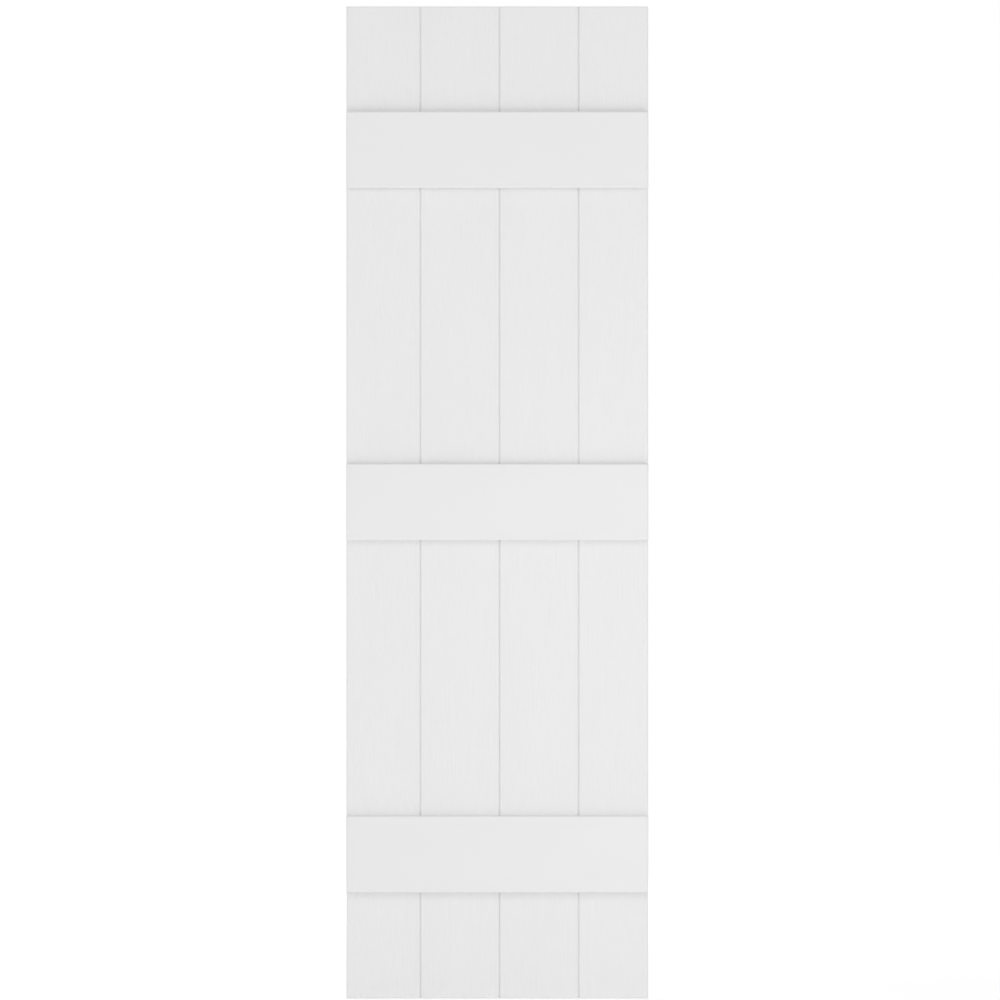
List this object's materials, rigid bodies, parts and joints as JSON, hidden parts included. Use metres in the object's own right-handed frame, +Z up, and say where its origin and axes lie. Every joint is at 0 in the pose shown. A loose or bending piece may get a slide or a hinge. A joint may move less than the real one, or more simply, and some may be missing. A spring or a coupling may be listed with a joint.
{
  "type": "vinyl board-and-batten shutter",
  "caption": "Fixed exterior window shutter: upright hollow vinyl boards joined edge to edge, with flat battens across the front, capped ends and a flat back that is fastened to a wall.",
  "frame": {"origin": "middle of the shutter's flat back, which lies against the wall", "axes": "+Z up along the boards, +Y into the wall, +X to the right as seen from the front"},
  "size_m": [0.3632, 0.027, 1.1938],
  "materials": {
    "board_vinyl": "matte",
    "batten_vinyl": "matte",
    "cap_vinyl": "matte",
    "screw_steel": "satin"
  },
  "bodies": {
    "root": {"bottom_batten": "batten_vinyl", "bottom_batten_left_cap": "cap_vinyl", "bottom_batten_right_cap": "cap_vinyl", "inner_left_board": "board_vinyl", "inner_left_board_bottom_cap": "cap_vinyl", "inner_left_board_top_cap": "cap_vinyl", "inner_right_board": "board_vinyl", "inner_right_board_bottom_cap": "cap_vinyl", "inner_right_board_top_cap": "cap_vinyl", "left_board": "board_vinyl", "left_board_bottom_cap": "cap_vinyl", "left_board_top_cap": "cap_vinyl", "middle_batten": "batten_vinyl", "middle_batten_left_cap": "cap_vinyl", "middle_batten_right_cap": "cap_vinyl", "right_board": "board_vinyl", "right_board_bottom_cap": "cap_vinyl", "right_board_top_cap": "cap_vinyl", "top_batten": "batten_vinyl", "top_batten_left_cap": "cap_vinyl", "top_batten_right_cap": "cap_vinyl"}
  },
  "joints": []
}
